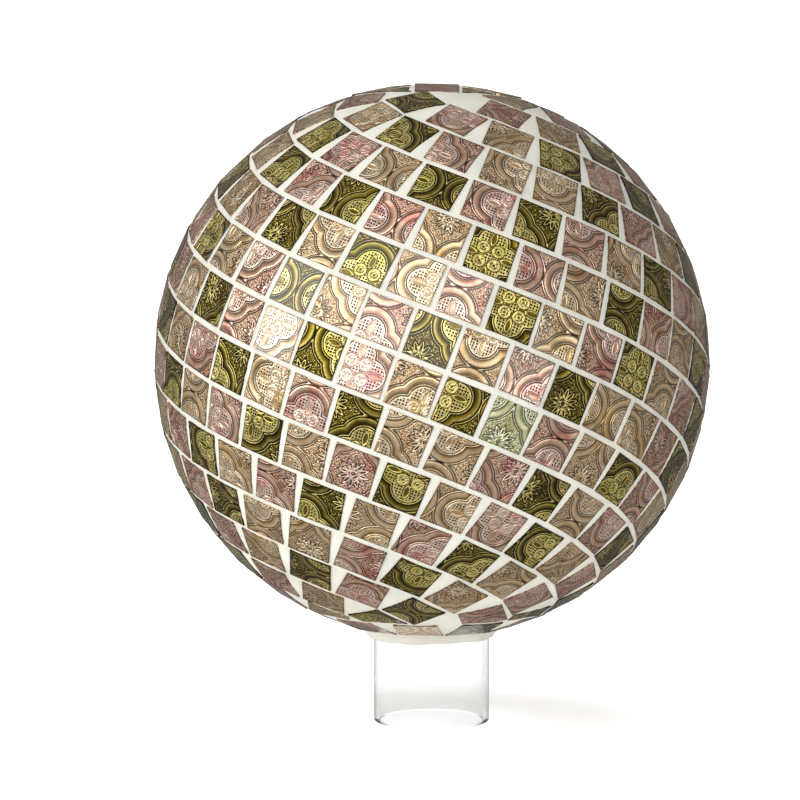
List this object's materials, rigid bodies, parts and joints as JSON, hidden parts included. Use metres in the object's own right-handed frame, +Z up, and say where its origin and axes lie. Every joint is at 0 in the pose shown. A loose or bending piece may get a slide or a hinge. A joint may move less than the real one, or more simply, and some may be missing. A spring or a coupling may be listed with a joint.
{
  "type": "mosaic glass gazing globe",
  "caption": "Hollow glass ball with an open neck below, covered with square embossed glass tiles set in pale grout.",
  "frame": {"origin": "centre of the open neck's rim, on the plane that the rim stands on", "axes": "+Z up along the neck to the top of the ball, -Y towards the front, +X to the right"},
  "size_m": [0.2539, 0.2535, 0.2927],
  "materials": {
    "clear_glass": "clear blown glass, smooth and glossy",
    "grout": "ivory cement grout, matt and sponged",
    "olive_tile": "glossy glass over olive gold foil, embossed",
    "rose_tile": "glossy glass over rose foil, embossed",
    "champagne_tile": "glossy glass over champagne foil, embossed"
  },
  "bodies": {
    "root": {"glass_globe": "clear_glass", "mosaic": "grout", "neck_ring_tile_1": "champagne_tile", "neck_ring_tile_2": "olive_tile", "neck_ring_tile_3": "rose_tile", "neck_ring_tile_4": "champagne_tile", "neck_ring_tile_5": "olive_tile", "neck_ring_tile_6": "rose_tile", "neck_ring_tile_7": "olive_tile", "neck_ring_tile_8": "rose_tile", "neck_ring_tile_9": "champagne_tile", "neck_ring_tile_10": "olive_tile", "neck_ring_tile_11": "rose_tile", "crown_centre_tile": "olive_tile", "crown_tile_1": "rose_tile", "crown_wedge_tile_1": "olive_tile", "crown_tile_2": "champagne_tile", "crown_wedge_tile_2": "olive_tile", "crown_tile_3": "rose_tile", "crown_wedge_tile_3": "olive_tile", "crown_tile_4": "champagne_tile", "crown_wedge_tile_4": "olive_tile", "crown_tile_5": "rose_tile", "crown_wedge_tile_5": "olive_tile", "crown_tile_6": "champagne_tile", "crown_wedge_tile_6": "olive_tile"}
  },
  "joints": []
}
